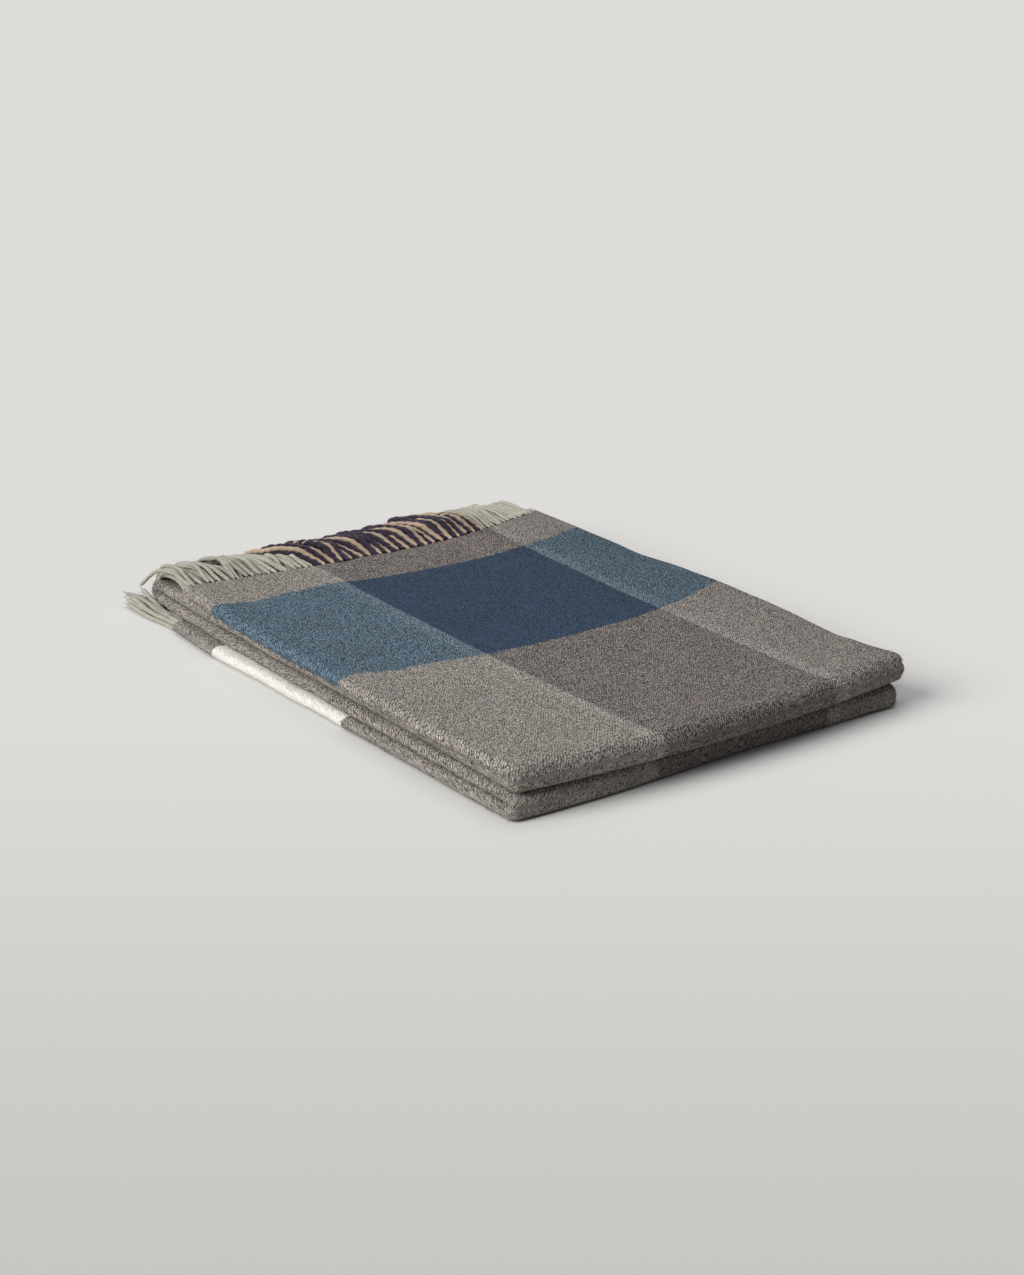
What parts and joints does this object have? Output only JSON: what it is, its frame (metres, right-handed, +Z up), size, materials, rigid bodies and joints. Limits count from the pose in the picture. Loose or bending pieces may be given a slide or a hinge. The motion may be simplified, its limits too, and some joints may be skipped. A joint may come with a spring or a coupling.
{
  "type": "folded throw blanket",
  "caption": "Fringed block-check wool throw, folded into quarters across its width and into a flat concertina stack along its length.",
  "frame": {"origin": "on the floor, under the middle of the folded stack's bounding box, fringes included", "axes": "+Z up through the stack; +Y from the two rolled front folds to the fringed back end; +X from the nested folds on the left to the open side on the right"},
  "size_m": [0.334, 0.508, 0.037],
  "materials": {
    "wool_cloth": "matte",
    "fringe_pale": "matte",
    "fringe_dark": "matte"
  },
  "bodies": {
    "bottom_leaf": {"leaf4_outer_wrap": "wool_cloth", "leaf4_inner_wrap": "wool_cloth", "bottom_fringe_pale_left": "fringe_pale", "bottom_fringe_dark_middle": "fringe_dark", "bottom_fringe_pale_right": "fringe_pale"},
    "third_leaf": {"leaf3_outer_wrap": "wool_cloth", "leaf3_inner_wrap": "wool_cloth"},
    "second_leaf": {"leaf2_outer_wrap": "wool_cloth", "leaf2_inner_wrap": "wool_cloth"},
    "top_leaf": {"leaf1_outer_wrap": "wool_cloth", "leaf1_inner_wrap": "wool_cloth", "top_fringe_pale_left": "fringe_pale", "top_fringe_dark_middle": "fringe_dark", "top_fringe_pale_right": "fringe_pale"}
  },
  "joints": [
    {"name": "lower_front_fold", "type": "hinge", "parent": "bottom_leaf", "child": "third_leaf", "pos_m": [0, -0.254, 0.00885], "axis": [1, 0, 0], "range_deg": [0, 180]},
    {"name": "back_fold", "type": "hinge", "parent": "third_leaf", "child": "second_leaf", "pos_m": [0, 0.226, 0.01785], "axis": [-1, 0, 0], "range_deg": [0, 180], "deforming": ["top_fringe_pale_left", "top_fringe_dark_middle", "top_fringe_pale_right"]},
    {"name": "upper_front_fold", "type": "hinge", "parent": "second_leaf", "child": "top_leaf", "pos_m": [0, -0.254, 0.02685], "axis": [1, 0, 0], "range_deg": [0, 180]}
  ]
}
